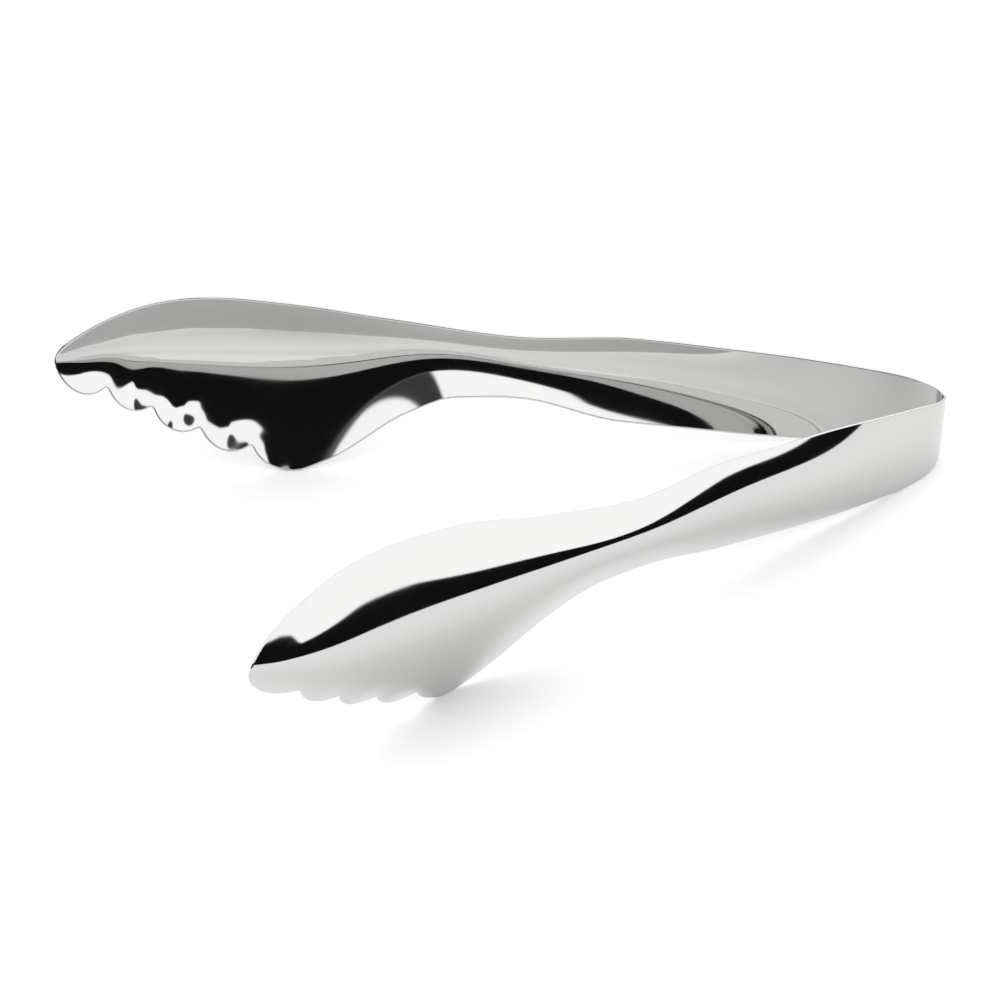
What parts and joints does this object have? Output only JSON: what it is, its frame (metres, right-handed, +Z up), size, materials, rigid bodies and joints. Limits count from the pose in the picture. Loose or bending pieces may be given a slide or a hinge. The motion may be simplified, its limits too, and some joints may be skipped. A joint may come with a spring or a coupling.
{
  "type": "serving tongs",
  "caption": "One-piece spring tongs in polished stainless steel: bent bow, channelled grip arms and scooped blades with scalloped lower edges, standing open on edge.",
  "frame": {"origin": "centre of the bounding box in plan, at the table surface the tongs stand on (z = 0)", "axes": "+X from the blade tips towards the spring bow, along the line that halves the opening; +Y towards the rear arm; +Z up"},
  "size_m": [0.2198, 0.1588, 0.0526],
  "materials": {
    "polished_steel": "mirror-polished stainless steel"
  },
  "bodies": {
    "bow": {"spring_bow": "polished_steel"},
    "rear_arm": {"rear_handle": "polished_steel", "rear_blade": "polished_steel"},
    "front_arm": {"front_handle": "polished_steel", "front_blade": "polished_steel"}
  },
  "joints": [
    {"name": "rear_flex", "type": "hinge", "parent": "bow", "child": "rear_arm", "pos_m": [0.09423, 0.01076, 0.01076], "axis": [0.1633, 0, 0.9866], "range_deg": [-3, 20.2], "stiffness_Nm_per_rad": 3.4},
    {"name": "front_flex", "type": "hinge", "parent": "bow", "child": "front_arm", "pos_m": [0.09423, -0.01076, 0.01076], "axis": [-0.1633, 0, -0.9866], "range_deg": [-3, 20.2], "stiffness_Nm_per_rad": 3.4}
  ],
  "couplings": [
    {"joint": "front_flex", "follows": "rear_flex", "ratio": 1}
  ]
}
